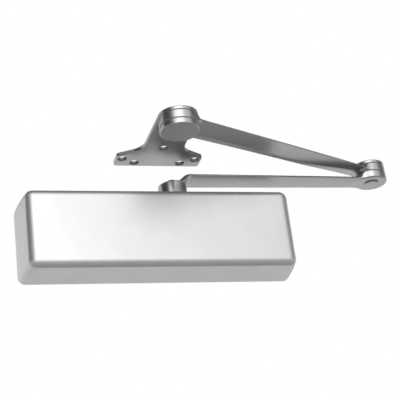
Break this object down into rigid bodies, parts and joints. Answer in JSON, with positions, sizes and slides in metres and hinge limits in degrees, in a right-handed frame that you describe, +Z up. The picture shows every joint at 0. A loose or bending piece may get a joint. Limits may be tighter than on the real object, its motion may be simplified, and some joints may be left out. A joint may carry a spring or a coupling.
{
  "type": "door closer",
  "caption": "Surface-mounted door closer: long rounded metal cover, forged main arm and forearm folded above it, and a soffit plate.",
  "frame": {"origin": "on the door face at the back of the closer body, straight behind the pinion and at the body's mid height", "axes": "+X along the door towards the elbow, -Y off the door into the room, +Z up along the pinion"},
  "size_m": [0.4442, 0.1591, 0.1373],
  "materials": {
    "silver_paint": "smooth satin aluminium-coloured paint",
    "forged_steel": "forged steel under a thin satin aluminium-coloured coat",
    "cast_iron": "sand cast, machined where it seats",
    "ground_steel": "ground",
    "spring_steel": "oiled spring wire",
    "zinc_steel": "zinc plated",
    "bush_bronze": "oil-impregnated sintered bronze",
    "seal_rubber": "black nitrile rubber"
  },
  "bodies": {
    "closer": {"cover": "silver_paint", "cover_screw_left": "zinc_steel", "cover_screw_right": "zinc_steel", "closer_body": "cast_iron", "spring_end_cap": "zinc_steel", "spring_end_ring": "seal_rubber", "cylinder_end_cap": "zinc_steel", "cylinder_end_ring": "seal_rubber", "upper_pinion_bearing": "ground_steel", "lower_pinion_bearing": "ground_steel", "pinion_seal": "seal_rubber", "pinion_gland": "zinc_steel", "lower_pinion_plug": "zinc_steel", "closing_spring": "spring_steel"},
    "main_arm_and_pinion": {"pinion_shaft": "ground_steel", "main_arm": "forged_steel", "arm_washer": "zinc_steel", "arm_screw": "zinc_steel", "elbow_pin": "ground_steel", "elbow_cap": "forged_steel"},
    "piston_unit": {"piston": "ground_steel", "check_ball": "ground_steel", "ball_retainer": "zinc_steel"},
    "forearm_unit": {"forearm": "forged_steel", "elbow_bush": "bush_bronze", "shoe_bush": "bush_bronze"},
    "soffit_shoe": {"soffit_plate": "forged_steel", "shoe_stud": "ground_steel", "shoe_disc": "forged_steel"},
    "sweep_valve_screw": {"sweep_valve": "zinc_steel"},
    "latch_valve_screw": {"latch_valve": "zinc_steel"},
    "backcheck_valve_screw": {"backcheck_valve": "zinc_steel"},
    "adjusting_screw": {"spring_adjusting_screw": "zinc_steel"},
    "adjusting_seat": {"spring_seat": "zinc_steel"}
  },
  "joints": [
    {"name": "arm_turn", "type": "hinge", "parent": "closer", "child": "main_arm_and_pinion", "pos_m": [0, -0.02635, 0], "axis": [0, 0, 1], "range_deg": [-115, 0], "stiffness_Nm_per_rad": 6, "springref_deg": 28.65},
    {"name": "piston_slide", "type": "slide", "parent": "closer", "child": "piston_unit", "axis": [1, 0, 0], "range_m": [-0.0223, 0], "deforming": ["closing_spring"]},
    {"name": "elbow_turn", "type": "hinge", "parent": "main_arm_and_pinion", "child": "forearm_unit", "pos_m": [0.2474, -0.02635, 0.082], "axis": [0, 0, 1], "range_deg": [-20, 150]},
    {"name": "shoe_turn", "type": "hinge", "parent": "forearm_unit", "child": "soffit_shoe", "pos_m": [-0.01682, -0.13764, 0.0826], "axis": [0, 0, 1], "continuous": true},
    {"name": "sweep_valve_turn", "type": "hinge", "parent": "closer", "child": "sweep_valve_screw", "pos_m": [0.1, -0.011, 0.031], "axis": [1, 0, 0], "range_deg": [-360, 360]},
    {"name": "latch_valve_turn", "type": "hinge", "parent": "closer", "child": "latch_valve_screw", "pos_m": [0.1, -0.025, 0.031], "axis": [1, 0, 0], "range_deg": [-360, 360]},
    {"name": "backcheck_valve_turn", "type": "hinge", "parent": "closer", "child": "backcheck_valve_screw", "pos_m": [0.1, -0.013, -0.03], "axis": [1, 0, 0], "range_deg": [-360, 360]},
    {"name": "spring_adjust_turn", "type": "hinge", "parent": "closer", "child": "adjusting_screw", "pos_m": [-0.15, -0.02635, 0], "axis": [1, 0, 0], "range_deg": [0, 1080]},
    {"name": "spring_seat_slide", "type": "slide", "parent": "closer", "child": "adjusting_seat", "axis": [1, 0, 0], "range_m": [0, 0.0061], "deforming": ["closing_spring"]}
  ],
  "couplings": [
    {"joint": "piston_slide", "follows": "arm_turn", "m_per_rad": 0.011},
    {"joint": "spring_seat_slide", "follows": "spring_adjust_turn", "m_per_rad": 0.00031831}
  ]
}
